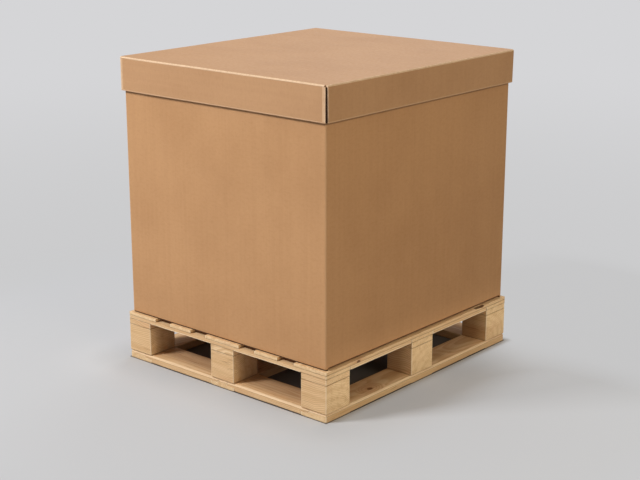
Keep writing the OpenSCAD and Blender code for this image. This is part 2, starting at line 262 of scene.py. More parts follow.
# Colours of kraft board, apart from those that the sleeve and the lid have of their own
SCUFF = linear(222, 182, 138)
CUT_PAPER = linear(214, 176, 134)
# Painted shade in the hollows of a cut edge, along the flutes and across them
CUT_ALONG_FLUTES = linear(176, 134, 92)
CUT_ACROSS_FLUTES = linear(122, 86, 54)
WEAR_AND_HIGHLIGHT_KRAFT = linear(240, 208, 172)
# Painted shade in the lid's slits, at the sleeve's foot, below the lid's edge and under flap folds
DARK = linear(46, 22, 8)
# Distances from the medium's middle, and from the board's face, where paper begins to show on a cut edge
# and where it is full
CUT_MEDIUM = (0.8 * MM, 0.25 * MM)
CUT_LINER = (0.7 * MM, 0.4 * MM)
KRAFT_BUMP = 0.6 * MM
KRAFT_DENTS = 5 * MM


def make_kraft(name, face, speck, flute_pitch, thickness):
    """Kraft board. The attribute sheet holds the distance across the flutes and the one along them.
    On a cut edge it holds the distance along the edge, the depth below the outer liner, and 1 where
    the edge runs across the flutes."""
    tree, shader, material = new_material(name)
    sheet = attribute(tree, "sheet", "Vector")
    cut = attribute(tree, "cut")
    split = add(tree, "SeparateXYZ", {0: sheet}).outputs
    washboard = calc(tree, "SINE", times(tree, split[X], math.tau / flute_pitch))

    # Detail of the face, by how often it comes in a metre across and along the flutes
    streaks = noise_of(tree, sheet, (90, 0.9, 0), detail=3.0, roughness=0.65)["Fac"]
    clouds = noise_of(tree, sheet, (4.5, 3.5, 0), detail=5.0, roughness=0.6)["Fac"]
    fibres = noise_of(tree, sheet, (420, 900, 0), detail=2.0, roughness=0.7)["Fac"]
    mottle = noise_of(tree, sheet, (75, 130, 0), detail=4.0, roughness=0.65)["Fac"]
    scuffs = noise_of(tree, sheet, (9, 30, 0), detail=6.0, roughness=0.72)["Fac"]
    colour = blend(tree, spread(tree, clouds, 0.35, 0.75, 0.0, 0.2), face, speck)
    colour = blend(tree, spread(tree, streaks, 0.35, 0.7, 0.0, 0.07), colour, speck)
    colour = blend(tree, spread(tree, mottle, 0.42, 0.72, 0.0, 0.1), colour, speck)
    colour = blend(tree, spread(tree, fibres, 0.6, 0.85, 0.0, 0.2), colour, speck)
    colour = blend(tree, spread(tree, scuffs, 0.6, 0.8, 0.0, 0.13), colour, SCUFF)

    # The cut edge: liners at both faces, and across the flutes a wavy medium between them
    half = 0.5 * thickness
    wave = times(tree, washboard, half - CUT_LINER[0])
    from_medium = calc(tree, "SUBTRACT", split[Y], calc(tree, "ADD", wave, half))
    from_medium = calc(tree, "ABSOLUTE", from_medium)
    from_middle = calc(tree, "ABSOLUTE", calc(tree, "SUBTRACT", split[Y], half))
    from_face = calc(tree, "SUBTRACT", half, from_middle)
    medium = times(tree, spread(tree, from_medium, *CUT_MEDIUM), split[Z])
    paper = calc(tree, "MAXIMUM", medium, spread(tree, from_face, *CUT_LINER))
    # Painted shade in the hollows between liners and medium, darker across the flutes
    flute_hollow_shade = blend(tree, split[Z], CUT_ALONG_FLUTES, CUT_ACROSS_FLUTES)
    colour = blend(tree, cut, colour, blend(tree, paper, flute_hollow_shade, CUT_PAPER))

    # Wear at the sleeve's rim, and painted highlight on folds, corners and lower edges
    wear_and_highlight = times(tree, attribute(tree, "wear_and_highlight"), spread(tree, mottle, 0.3, 0.6, 0.55, 1.0))
    colour = blend(tree, wear_and_highlight, colour, WEAR_AND_HIGHLIGHT_KRAFT)
    colour = blend(tree, attribute(tree, "shade"), colour, DARK)

    flat = calc(tree, "SUBTRACT", 1.0, cut)
    height = times(tree, washboard, times(tree, flat, 0.05))
    height = calc(tree, "MULTIPLY_ADD", fibres, 0.12, height)
    height = calc(tree, "MULTIPLY_ADD", mottle, 0.18, height)
    dents = bump(tree, clouds, KRAFT_DENTS)
    connect(tree, shader, Base_Color=colour, Normal=bump(tree, height, KRAFT_BUMP, dents))
    connect(tree, shader, Roughness=spread(tree, mottle, 0.25, 0.75, 0.55, 0.7))
    shader.inputs["Specular IOR Level"].default_value = 0.22
    return material


STEEL = linear(172, 172, 176)
GRIME = linear(112, 100, 90)
SCRATCH_BUMP = 0.05 * MM


def make_nail_steel():
    """Bright wire nails, a little dull and scratched."""
    tree, shader, material = new_material("nail_steel")
    place = add(tree, "TexCoord").outputs["Object"]
    grime = noise_of(tree, place, (300, 300, 300), detail=4.0)["Fac"]
    scratches = noise_of(tree, place, (1800, 400, 900), detail=2.0)["Fac"]
    colour = blend(tree, spread(tree, grime, 0.4, 0.75), STEEL, GRIME)
    connect(tree, shader, Base_Color=colour, Roughness=spread(tree, grime, 0.3, 0.7, 0.32, 0.6))
    connect(tree, shader, Normal=bump(tree, scratches, SCRATCH_BUMP))
    shader.inputs["Metallic"].default_value = 1.0
    return material


# Mesh helpers

# The angle up to which faces are one flat face, the one from which an edge counts as sharp,
# and the one up to which faces are shaded as one
FLAT = math.radians(0.2)
SHARP = math.radians(28)
SMOOTH = math.radians(35)
# The rim of a nail hole has no edge as long as this
LONG_EDGE = 8 * MM
# Points this close together are one, and points this close to a cut are on it
WELD = 0.001 * MM
CUT_SNAP = 0.0001 * MM
# Places this close count as the same
TOUCH = 0.01 * MM


def copy_of(node):
    """A CAD node's solid, welded, with its flat faces made whole again."""
    bm = bmesh.new()
    bm.from_mesh(NODES[node].data)
    bmesh.ops.remove_doubles(bm, verts=bm.verts, dist=WELD)
    bmesh.ops.dissolve_limit(bm, angle_limit=FLAT, verts=bm.verts, edges=bm.edges)
    return bm


def is_sharp(edge):
    return len(edge.link_faces) == 2 and edge.calc_face_angle(0.0) > SHARP


def outline_edges(bm):
    """The sharp edges of a board's outline, without the rims of its nail holes."""
    waiting, found = {e for e in bm.edges if is_sharp(e)}, []
    while waiting:
        group, queue = [], [waiting.pop()]
        while queue:
            edge = queue.pop()
            group.append(edge)
            for v in edge.verts:
                for other in v.link_edges:
                    if other in waiting:
                        waiting.remove(other)
                        queue.append(other)
        if max(e.calc_length() for e in group) > LONG_EDGE:
            found += group
    return found


def wear_edges(bm, edges, width, profile):
    bmesh.ops.bevel(bm, geom=edges, offset=width, offset_type="OFFSET", segments=2, profile=profile,
                    affect="EDGES", clamp_overlap=True)


def cut_across(bm, axis, place):
    """Cuts every face by the plane that crosses an axis at a place."""
    point, normal = Vector((0, 0, 0)), Vector((0, 0, 0))
    point[axis] = place
    normal[axis] = 1
    everything = bm.verts[:] + bm.edges[:] + bm.faces[:]
    bmesh.ops.bisect_plane(bm, geom=everything, dist=CUT_SNAP, plane_co=point, plane_no=normal)


def slice_along(bm, axis, step):
    """Cuts every face by even planes across an axis, so that the mesh can follow small changes of shape."""
    places = [v.co[axis] for v in bm.verts]
    low, high = min(places), max(places)
    count = max(1, round((high - low) / step))
    for i in range(1, count):
        cut_across(bm, axis, low + (high - low) * i / count)


def new_marks(mesh, *names):
    """New attributes with one number for each face, looked up once all of them are there."""
    for name in names:
        mesh.attributes.new(name, "FLOAT", "FACE")
    return [mesh.attributes[name].data for name in names]


def finish_piece(name, bm, node, material):
    """Turns the mesh into a piece that stands for its CAD node and rides on the node's body."""
    mesh = bpy.data.meshes.new(name)
    bm.to_mesh(mesh)
    bm.free()
    mesh.shade_smooth()
    mesh.set_sharp_from_angle(angle=SMOOTH)
    mesh.materials.append(material)
    piece = bpy.data.objects.new(name, mesh)
    bpy.context.scene.collection.objects.link(piece)
    normals = piece.modifiers.new("even_shading", "WEIGHTED_NORMAL")
    normals.keep_sharp = True
    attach(piece, BODY_OF[node])
    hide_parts(node)
    return mesh


# Wood

# The direction in which the wood of each kind of piece grew
GRAIN_AXIS = {
    "deck_board": Y, "edge_strip": Y, "runner": Y,
    "cross_board": X, "closing_board": X, "packer": X, "block": X,
}
EDGE_WEAR = 1.3 * MM
THIN_EDGE_WEAR = 0.9 * MM
# A piece lower than this has the smaller wear
THIN = 12 * MM
# How full the wood's worn edges are, where 0.5 is round
EDGE_PROFILE = 0.55
# A point this close to a side of its piece belongs to that side
NEAR_EDGE = 3 * EDGE_WEAR
# Width of the painted highlight strip beside an upright edge
HIGHLIGHT_STRIP_W = 2.6 * MM
# Height of the dirt and painted shade above a joint between two pieces
JOINT_SHADE_H = 2.4 * MM
ROUGH_SAWN = 0.45 * MM
SLICE = 16 * MM
# How far a piece may fall short of its neighbours at its sides
SHORTFALL = 0.9 * MM
# How far the heart of the log lies from the middle of a piece, in millimetres, and how far below it
# it lies at least
HEART_DEPTHS = (55, 120)
HEART_BELOW = 20 * MM

PALLET_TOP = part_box("deck_board_3")[1][Z]
BASE_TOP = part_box("runner_right")[1][Z]
BASE_CHAMFER = 6 * MM
CHAMFER_LOW = BASE_TOP - BASE_CHAMFER
PALLET_HALF = (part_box("runner_right")[1][X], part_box("closing_board_back_right")[1][Y])
PACKER_BOXES = [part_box(n) for n in NODES if n.startswith("packer_")]
# Pieces that join the blocks
JOINING_BOARDS = ("cross_board", "edge_strip")
# Pieces whose inner parts, like the sides of the fork channels, take painted shade with some dust
SHADED_INSIDE = ("block", "packer", "runner", "closing_board")

# Knots that the photograph shows, and a place far from every piece for those without one
KNOT_SPOTS = {"runner_right": (0.368, -0.209, 0.024), "deck_board_5": (0.404, -0.3, 0.141)}
NO_KNOT = (5.0, 5.0, 5.0)
# Where bark has left a dip in the outer edge of a deck board: the piece, and the dip's span along Y,
# its depth and how far it reaches in
WANE_PIECE = "deck_board_5"
WANE_Y = (0.262, 0.322)
WANE_DEPTH = 4.5 * MM
WANE_REACH = 9 * MM
WANE_STEPS = 10
# How many times faster the dip ends than it begins
WANE_END = 6


def grain_axis(node):
    return next(axis for kind, axis in GRAIN_AXIS.items() if node.startswith(kind))


def wear_down(bm, amount, seed):
    """Takes a little wood off, more in some places than in others."""
    bm.normal_update()
    shift = Vector((seed * 3.7, seed * 1.3, seed * 2.1))
    for v in bm.verts:
        here = noise.noise(v.co * 22 + shift) + 0.5 * noise.noise(v.co * 70 + shift)
        v.co -= v.normal * amount * min(1.0, max(0.0, 0.5 + 0.6 * here))


def cut_short(bm, low, high, draw):
    """Moves each upright side of a piece in by a little of its own, as no two are sawn quite alike."""
    for axis in (X, Y):
        low_move = draw.uniform(0.15, 1.0) * SHORTFALL
        high_move = draw.uniform(0.15, 1.0) * SHORTFALL
        for v in bm.verts:
            if v.co[axis] < low[axis] + NEAR_EDGE:
                v.co[axis] += low_move
            elif v.co[axis] > high[axis] - NEAR_EDGE:
                v.co[axis] -= high_move


def wane_at(y):
    """How deep the dip left by bark is at a place along the board's edge."""
    part = (y - WANE_Y[0]) / (WANE_Y[1] - WANE_Y[0])
    return 0.0 if part <= 0 or part >= 1 else WANE_DEPTH * min(part, WANE_END * (1 - part))


def add_wane(bm, high):
    for i in range(WANE_STEPS + 1):
        cut_across(bm, Y, WANE_Y[0] + (WANE_Y[1] - WANE_Y[0]) * i / WANE_STEPS)
    cut_across(bm, X, high.x - WANE_REACH)
    for v in bm.verts:
        if v.co.z > high.z - NEAR_EDGE and v.co.x > high.x - WANE_REACH:
            v.co.z -= wane_at(v.co.y)


def shape_wood(node, low, high, draw):
    """The worn shape of a piece, cut finely enough for its marks."""
    bm = copy_of(node)
    wear = THIN_EDGE_WEAR if high.z - low.z < THIN else EDGE_WEAR
    wear_edges(bm, outline_edges(bm), wear, EDGE_PROFILE)
    for side in (X, Y):
        slice_along(bm, side, SLICE)
        cut_across(bm, side, low[side] + HIGHLIGHT_STRIP_W)
        cut_across(bm, side, high[side] - HIGHLIGHT_STRIP_W)
    cut_across(bm, Z, low.z + JOINT_SHADE_H)
    if node == WANE_PIECE:
        add_wane(bm, high)
    cut_short(bm, low, high, draw)
    wear_down(bm, ROUGH_SAWN, draw.uniform(0, 10))
    return bm


def lay_grain(mesh, node, middle, draw):
    """Stores each point's place in the log that a piece was sawn from, and its depth in the pallet."""
    axis = grain_axis(node)
    sides = [a for a in (X, Y, Z) if a != axis]
    turn = draw.uniform(0, math.tau)
    depth = draw.uniform(*HEART_DEPTHS) * MM
    heart = (depth * math.cos(turn) * 0.6, -depth * abs(math.sin(turn)) - HEART_BELOW)
    start = draw.uniform(0, 20)

    def in_log(point):
        across = [point[side] - middle[side] - from_heart for side, from_heart in zip(sides, heart)]
        return across[0], across[1], point[axis] + start

    grain = mesh.attributes.new("grain", "FLOAT_VECTOR", "POINT")
    for v, value in zip(mesh.vertices, grain.data):
        value.vector = in_log(v.co)
    inside = mesh.attributes.new("inside", "FLOAT", "POINT")
    if node.startswith(SHADED_INSIDE):
        for v, value in zip(mesh.vertices, inside.data):
            value.value = min(PALLET_HALF[X] - abs(v.co.x), PALLET_HALF[Y] - abs(v.co.y))
    knot_at = mesh.attributes.new("knot_at", "FLOAT_VECTOR", "POINT")
    knot_at.data.foreach_set("vector", in_log(KNOT_SPOTS.get(node, NO_KNOT)) * len(mesh.vertices))


def hangs_free(point):
    """Whether there is no packer under a place on the boards that join the blocks."""
    return not any(a[X] < point.x < b[X] and a[Y] < point.y < b[Y] for a, b in PACKER_BOXES)


def dirt_shade_and_highlight(node, low, high, polygon):
    """How much dirt and painted shade lie on a face, and how much painted highlight it has."""
    normal, at = polygon.normal, polygon.center
    slope = abs(normal.z)
    is_base = high.z < BASE_TOP + MM
    just_above_joint = at.z < low.z + JOINT_SHADE_H

    # Dirt and painted shade on the bevels where pieces meet, and just above joints
    dirt_and_shade = 0.0
    on_lower_edge = at.z < low.z + EDGE_WEAR
    on_upper_edge = at.z > high.z - EDGE_WEAR and high.z < PALLET_TOP - EDGE_WEAR
    if 0.25 < slope < 0.97 and (on_lower_edge or on_upper_edge):
        dirt_and_shade = 0.6 if on_lower_edge else 0.25
    elif just_above_joint and slope < 0.3:
        dirt_and_shade = 0.25
    # Painted shade in the groove at the foot of the base's chamfer
    if is_base and abs(at.z - CHAMFER_LOW) < EDGE_WEAR and 0.05 < slope < 0.6:
        dirt_and_shade = 0.5

    # Painted highlight on upright edges, the base's chamfer and free lower edges of joining boards
    pale = 0.0
    at_side = min(at.x - low.x, high.x - at.x) < HIGHLIGHT_STRIP_W
    at_end = min(at.y - low.y, high.y - at.y) < HIGHLIGHT_STRIP_W
    on_upright_edge = max(abs(normal.x), abs(normal.y)) < 0.96
    if slope < 0.3 and (on_upright_edge or at_side and at_end):
        pale = 1.0
    if is_base and normal.z > 0 and 0.3 < slope < 0.95:
        pale = 0.5
    if node.startswith(JOINING_BOARDS) and just_above_joint and slope < 0.9 and hangs_free(at):
        pale = 1.0
        dirt_and_shade = 0.0
    # Painted shade in the dip of the wane
    on_wane = node == WANE_PIECE and wane_at(at.y) > 0.2 * WANE_DEPTH
    if on_wane and at.x > high.x - WANE_REACH and slope > 0.1:
        dirt_and_shade = 1.0
    return dirt_and_shade, pale


def make_wood(node, material):
    """One piece of wood, with edges rounded by wear and a heart of its own for its rings."""
    draw = random.Random(node)
    low, high = (Vector(v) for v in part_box(node))
    mesh = finish_piece(node + "_pine", shape_wood(node, low, high, draw), node, material)
    lay_grain(mesh, node, (low + high) / 2, draw)
    level = draw.random()
    tone, end, seam, corner = new_marks(mesh, "tone", "end", "seam", "corner")
    for polygon in mesh.polygons:
        i = polygon.index
        tone[i].value = level
        end[i].value = 1.0 if abs(polygon.normal[grain_axis(node)]) > 0.8 else 0.0
        seam[i].value, corner[i].value = dirt_shade_and_highlight(node, low, high, polygon)


# Board

SLEEVE_LOW, SLEEVE_HIGH = (Vector(v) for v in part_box("sleeve"))
LID_LOW, LID_HIGH = (Vector(v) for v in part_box("lid"))
INNER_FLAP_LOW, INNER_FLAP_HIGH = (Vector(v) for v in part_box("inner_flap_front"))
OUTER_FLAP_LOW, OUTER_FLAP_HIGH = (Vector(v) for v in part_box("outer_flap_right"))
SLEEVE_T = INNER_FLAP_HIGH.z - INNER_FLAP_LOW.z
LID_T = LID_HIGH.z - SLEEVE_HIGH.z
PANEL_SLICE = 28 * MM


def write_sheet(mesh, place, is_cut, mark):
    """Stores each corner's place on the sheet, and each face's cut, wear, painted highlight and painted
    shade.
    """
    sheet = mesh.attributes.new("sheet", "FLOAT_VECTOR", "CORNER")
    cut, wear_and_highlight, shade = new_marks(mesh, "cut", "wear_and_highlight", "shade")
    for polygon in mesh.polygons:
        raw = is_cut(polygon)
        cut[polygon.index].value = 1.0 if raw else 0.0
        wear_and_highlight[polygon.index].value, shade[polygon.index].value = mark(polygon)
        for i in polygon.loop_indices:
            point = mesh.vertices[mesh.loops[i].vertex_index].co
            sheet.data[i].vector = place(point, polygon, raw)


# Sleeve

# Sizes of the folded blank, as in the solids
RAW_END_INSET = 1 * MM
GLUE_FLAP_W = 45 * MM
GLUE_FLAP_TRIM = 25 * MM
SLEEVE_ROUND = 9 * MM
# The folds, a little tighter than in the solids: radius of the outer face, least radius of the inner one,
# how much of each wall a fold takes, and how much of the board
FOLD_R = 5.5 * MM
CREASE_R = 0.4 * MM
FOLD_ZONE = 7.6 * MM
FOLD_LENGTH = 12 * MM
FOLD_STEPS = 8
# The share of a fold, at each of its ends, in which straight board starts to bend
FOLD_EASE = 0.15
# The board runs from its raw end at the back left corner round four folds to the end of the glue flap.
# These are the corners of its outer face, as if its folds were sharp.
ROUTE = [
    Vector((SLEEVE_LOW.x, SLEEVE_HIGH.y - RAW_END_INSET)),
    Vector((SLEEVE_LOW.x, SLEEVE_LOW.y)),
    Vector((SLEEVE_HIGH.x, SLEEVE_LOW.y)),
    Vector((SLEEVE_HIGH.x, SLEEVE_HIGH.y)),
    Vector((SLEEVE_LOW.x + SLEEVE_T, SLEEVE_HIGH.y)),
    Vector((SLEEVE_LOW.x + SLEEVE_T, SLEEVE_HIGH.y - SLEEVE_ROUND - GLUE_FLAP_W)),
]
# How far a wall stands out, and how much of it beside each fold stays straight
WALL_BULGE = 1.1 * MM
CALM_ZONE = 60 * MM

# The double wall from outside to inside: liner, fine flutes, liner, coarse flutes, liner.
# A flute layer has the depth of its middle, its swing to both sides and its pitch.
LINER_T = 0.5 * MM
MEDIUM_T = 0.35 * MM
LINER_DEPTHS = [0.0, 3.25 * MM, SLEEVE_T - LINER_T]
FINE_PITCH = 6.3 * MM
COARSE_PITCH = 7.9 * MM
FLUTE_LAYERS = [(2.0 * MM, 1.15 * MM, FINE_PITCH), (4.95 * MM, 1.2 * MM, COARSE_PITCH)]
FLUTE_STEPS = 8
# The layers show down to this depth below the rim, and reach a little further down, into the closed board
RIM_DEPTH = 12 * MM
RIM_FOOT = 1 * MM
RIM = SLEEVE_HIGH.z - RIM_DEPTH
# The crushed lower edge of the walls that stand on the deck, which carries a painted contact shadow
FOOT_H = 4.0 * MM
FOOT_IN = 1.6 * MM
# Height of the painted shadow that the lid's lower edge casts on the walls
LID_SHADOW_H = 6.6 * MM


def plan_route():
    """Splits the board's length into straight runs: start, direction, length and place along the board."""
    straights = []
    along = 0.0
    for i, (a, b) in enumerate(zip(ROUTE, ROUTE[1:])):
        direction = (b - a).normalized()
        first = FOLD_ZONE if i > 0 else 0.0
        last = FOLD_ZONE if i < len(ROUTE) - 2 else 0.0
        length = (b - a).length - first - last
        straights.append((a + direction * first, direction, length, along))
        along += length + FOLD_LENGTH
    return straights


STRAIGHTS = plan_route()
GLUE_FLAP_START = STRAIGHTS[-1][3]


def inward_of(direction):
    return Vector((-direction.y, direction.x))


def on_board(along, depth):
    """The point at a place along the board and a depth below its outer face, and the way out there."""
    for i, (start, direction, length, begin) in enumerate(STRAIGHTS):
        inward = inward_of(direction)
        if along <= begin + length or i == len(STRAIGHTS) - 1:
            return start + direction * (along - begin) + inward * depth, -inward
        if along < begin + length + FOLD_LENGTH:
            part = (along - begin - length) / FOLD_LENGTH
            next_start = STRAIGHTS[i + 1][0]
            inward_after = inward_of(STRAIGHTS[i + 1][1])
            radius = max(FOLD_R - depth, CREASE_R)
            corner = start + direction * (length + FOLD_ZONE) + (inward + inward_after) * depth
            centre = corner + (inward + inward_after) * radius
            bent = min(1.0, max(0.0, (part - FOLD_EASE) / (1 - 2 * FOLD_EASE)))
            turn = bent * math.pi / 2
            out = -inward * math.cos(turn) - inward_after * math.sin(turn)
            point = centre + out * radius
            if part < FOLD_EASE:
                point = (start + direction * length + inward * depth).lerp(point, part / FOLD_EASE)
            if part > 1 - FOLD_EASE:
                left = (part - 1 + FOLD_EASE) / FOLD_EASE
                point = point.lerp(next_start + inward_after * depth, left)
            return point, out


def wall_bulge(along, height):
    """How far a wall stands out between its folds, as board does that has stood for a while."""
    for start, direction, length, begin in STRAIGHTS:
        into = min(along - begin, begin + length - along)
        if into > CALM_ZONE:
            across = min(1.0, (into - CALM_ZONE) / (3 * CALM_ZONE))
            up = (height - SLEEVE_LOW.z) / (SLEEVE_HIGH.z - SLEEVE_LOW.z)
            slow = noise.noise(Vector((along * 2.6, height * 2.2, 5.0)))
            ease = across * across * (3 - 2 * across)
            return ease * math.sin(math.pi * up) * WALL_BULGE * (0.55 + slow)
    return 0.0


def place_board(along, height, depth):
    point, out = on_board(along, depth)
    point = point + out * wall_bulge(along, height)
    return Vector((point.x, point.y, height))


def fold_columns(spacing):
    """Places along the board that follow its straight runs and its folds."""
    columns = []
    for start, direction, length, begin in STRAIGHTS:
        count = max(1, round(length / spacing))
        columns += [begin + length * i / count for i in range(count + 1)]
        if begin < GLUE_FLAP_START:
            columns += [begin + length + FOLD_LENGTH * i / FOLD_STEPS for i in range(1, FOLD_STEPS)]
    return columns


def add_board(bm, columns, rows, is_there, outer, inner):
    """Adds board over the cells that are there, with a cut edge wherever the next cell isn't.
    The outer and the inner depth are functions of the place along the board and the height."""
    sheet = bm.loops.layers.float_vector["sheet"]
    cut = bm.faces.layers.float["cut"]
    made = {}

    def vert(i, j, side):
        if (i, j, side) not in made:
            depth = (inner if side else outer)(columns[i], rows[j])
            made[i, j, side] = bm.verts.new(place_board(columns[i], rows[j], depth)), depth
        return made[i, j, side][0]

    def face(corners, edge=None):
        new = bm.faces.new([vert(*c) for c in corners])
        new[cut] = 1.0 if edge else 0.0
        for loop, (i, j, side) in zip(new.loops, corners):
            depth = made[i, j, side][1]
            if edge == "level":
                loop[sheet] = (columns[i], depth, 1.0)
            elif edge == "upright":
                loop[sheet] = (rows[j], depth, 0.0)
            else:
                loop[sheet] = (columns[i], rows[j], 0.0)

    there = set()
    for i, (a, b) in enumerate(zip(columns, columns[1:])):
        for j, (c, d) in enumerate(zip(rows, rows[1:])):
            if is_there((a + b) / 2, (c + d) / 2):
                there.add((i, j))
    for i, j in sorted(there):
        face([(i, j, 0), (i + 1, j, 0), (i + 1, j + 1, 0), (i, j + 1, 0)])
        face([(i, j, 1), (i, j + 1, 1), (i + 1, j + 1, 1), (i + 1, j, 1)])
        if (i, j - 1) not in there:
            face([(i, j, 0), (i, j, 1), (i + 1, j, 1), (i + 1, j, 0)], "level")
        if (i, j + 1) not in there:
            face([(i, j + 1, 0), (i + 1, j + 1, 0), (i + 1, j + 1, 1), (i, j + 1, 1)], "level")
        if (i - 1, j) not in there:
            face([(i, j, 0), (i, j + 1, 0), (i, j + 1, 1), (i, j, 1)], "upright")
        if (i + 1, j) not in there:
            face([(i + 1, j, 0), (i + 1, j, 1), (i + 1, j + 1, 1), (i + 1, j + 1, 0)], "upright")


def flap_slots():
    """Where along the board the outer flaps turn in under two of the walls, which end above them."""
    slots = []
    for start, direction, length, begin in (STRAIGHTS[0], STRAIGHTS[2]):
        reach = [begin + (y - start.y) * direction.y for y in (OUTER_FLAP_LOW.y, OUTER_FLAP_HIGH.y)]
        slots.append((min(reach), max(reach)))
    return slots


def add_walls(bm, columns, slots):
    """The four walls and the glue flap, from the deck to just below the rim."""
    low, wall_end = SLEEVE_LOW.z, OUTER_FLAP_HIGH.z
    flap_low, flap_high = low + GLUE_FLAP_TRIM, SLEEVE_HIGH.z - GLUE_FLAP_TRIM
    count = round((RIM - wall_end) / PANEL_SLICE)
    levels = [wall_end + (RIM - wall_end) * (i + 0.5) / count for i in range(count)]
    levels += [low, low + FOOT_H, wall_end, flap_low, flap_high, LID_LOW.z - LID_SHADOW_H, LID_LOW.z, RIM]

    def is_there(along, height):
        if along > GLUE_FLAP_START:
            return flap_low < height < flap_high
        return height > wall_end or not any(a < along < b for a, b in slots)

    def outer(along, height):
        return FOOT_IN if height == low else 0.0

    add_board(bm, columns, sorted(levels), is_there, outer, lambda along, height: SLEEVE_T)


def add_rim(bm, columns):
    """The liners and the fluted mediums that show at the upper rim."""
    rows = [RIM - RIM_FOOT, SLEEVE_HIGH.z]

    def is_wall(along, height):
        return along < GLUE_FLAP_START

    def even(depth):
        return lambda along, height: depth

    def fluted(middle, swing, pitch):
        return lambda along, height: middle + swing * math.cos(math.tau * along / pitch)

    for depth in LINER_DEPTHS:
        add_board(bm, columns, rows, is_wall, even(depth), even(depth + LINER_T))
    for middle, swing, pitch in FLUTE_LAYERS:
        count = round(GLUE_FLAP_START / pitch * FLUTE_STEPS)
        fine = [GLUE_FLAP_START * i / count for i in range(count + 1)]
        outer = fluted(middle - MEDIUM_T / 2, swing, pitch)
        inner = fluted(middle + MEDIUM_T / 2, swing, pitch)
        add_board(bm, fine, rows, is_wall, outer, inner)


def sleeve_marks(polygon):
    """How much wear and painted highlight a face of the sleeve has, and how much painted shade lies on it.
    """
    normal, at = polygon.normal, polygon.center
    faces_out = at.xy.dot(normal.xy) > 0
    wear_and_highlight, shade = 0.0, 0.0
    # Painted highlight on the folds, and wear at the rim
    if abs(normal.z) < 0.1 and max(abs(normal.x), abs(normal.y)) < 0.985:
        wear_and_highlight = 0.12
    if at.z > RIM:
        wear_and_highlight = 0.3
    # Painted contact shadow at the foot, and the lid's painted shadow on outer faces below its edge
    if at.z < SLEEVE_LOW.z + FOOT_H:
        shade = 0.9
    elif faces_out and LID_LOW.z - LID_SHADOW_H < at.z < LID_LOW.z:
        shade = 0.3
    return wear_and_highlight, shade


def make_sleeve(material):
    """The sleeve, whose upper rim shows the liners and flutes that its board is made of."""
    bm = bmesh.new()
    bm.loops.layers.float_vector.new("sheet")
    bm.faces.layers.float.new("cut")
    slots = flap_slots()
    columns = sorted({*fold_columns(PANEL_SLICE), *slots[0], *slots[1]})
    add_walls(bm, columns, slots)
    add_rim(bm, columns)
    mesh = finish_piece("sleeve_board", bm, "sleeve", material)
    wear_and_highlight, shade = new_marks(mesh, "wear_and_highlight", "shade")
    for polygon in mesh.polygons:
        wear_and_highlight[polygon.index].value, shade[polygon.index].value = sleeve_marks(polygon)


# Lid

LID_EDGE_WEAR = 1.2 * MM
LID_EDGE_PROFILE = 0.5
# The painted highlight on the folds reaches this far below the top
LID_FOLD_H = 6 * MM
# How far the lid's panels wander out of their plane, and the seed of the way they do
PANEL_WAVE = 0.7 * MM
PANEL_SEED = 9.0
# Height of the painted highlight along the lower edges, and width of the one beside each corner
LID_STRIP_H = 3.6 * MM
LID_STRIP_W = 15 * MM
# How much wider the corner slits are than in the solid at their top, and how much more at their lower end
SLIT_TOP = 0.9 * MM
SLIT_SPREAD = 2.2 * MM
# Where a slit lies: below its upper end, and within these distances from the lid's corner along X and Y
SLIT_START = LID_HIGH.z - 5 * MM
SLIT_X = 6.5 * MM
SLIT_Y = 10 * MM
# The faces inside a slit lie this far below the lid's outer faces at least, along X and Y
SLIT_DEPTH = 1.5 * MM
SLIT_END = 1 * MM
# How far apart the lid's top and its two kinds of flange lie on the sheet, so that their marks differ
NEXT_PANEL = 1.0


def warp_panels(bm, amount, seed):
    """Lets a board wander a little out of its plane, as one folded from a flat sheet does."""
    bm.normal_update()
    shift = Vector((seed, 0.4 * seed, 0.7 * seed))
    moves = []
    for v in bm.verts:
        slow = noise.noise(v.co * 3.2 + shift) + 0.35 * noise.noise(v.co * 11 + shift)
        move = Vector((slow, noise.noise(v.co * 3.2 - shift), slow)) * amount
        moves.append(Vector((0, 0, 0)) if v.is_boundary else move)
    for v, move in zip(bm.verts, moves):
        v.co += move


def wall_depth(point, low, high):
    """How far a point lies inside the nearest upright face of a box."""
    return min(point.x - low.x, high.x - point.x, point.y - low.y, high.y - point.y)


def lid_place(point, polygon, raw):
    """The lid's flutes run along X on its top, and so down on the flanges at the two X ends."""
    drop = LID_HIGH.z - point.z
    on_long_side = abs(abs(polygon.center.y) - LID_HIGH.y) < LID_T and drop > LID_T
    if raw and abs(polygon.normal.z) > 0.9:
        along = point.x if on_long_side else point.y
        return along, wall_depth(point, LID_LOW, LID_HIGH), 0.0 if on_long_side else 1.0
    if raw:
        return point.z, LID_HIGH.x - abs(point.x), 0.0
    if on_long_side:
        return point.z + 2 * NEXT_PANEL, point.x, 0.0
    return point.y, point.x if polygon.normal.z > 0.5 else point.z + NEXT_PANEL, 0.0


def is_lid_cut(polygon):
    at_bottom = polygon.normal.z < -0.9 and polygon.center.z < LID_LOW.z + LID_T
    slit_end = abs(polygon.normal.y) > 0.9 and abs(polygon.center.x) > LID_HIGH.x - LID_T
    return at_bottom or slit_end and abs(polygon.center.y) > LID_HIGH.y - SLIT_Y


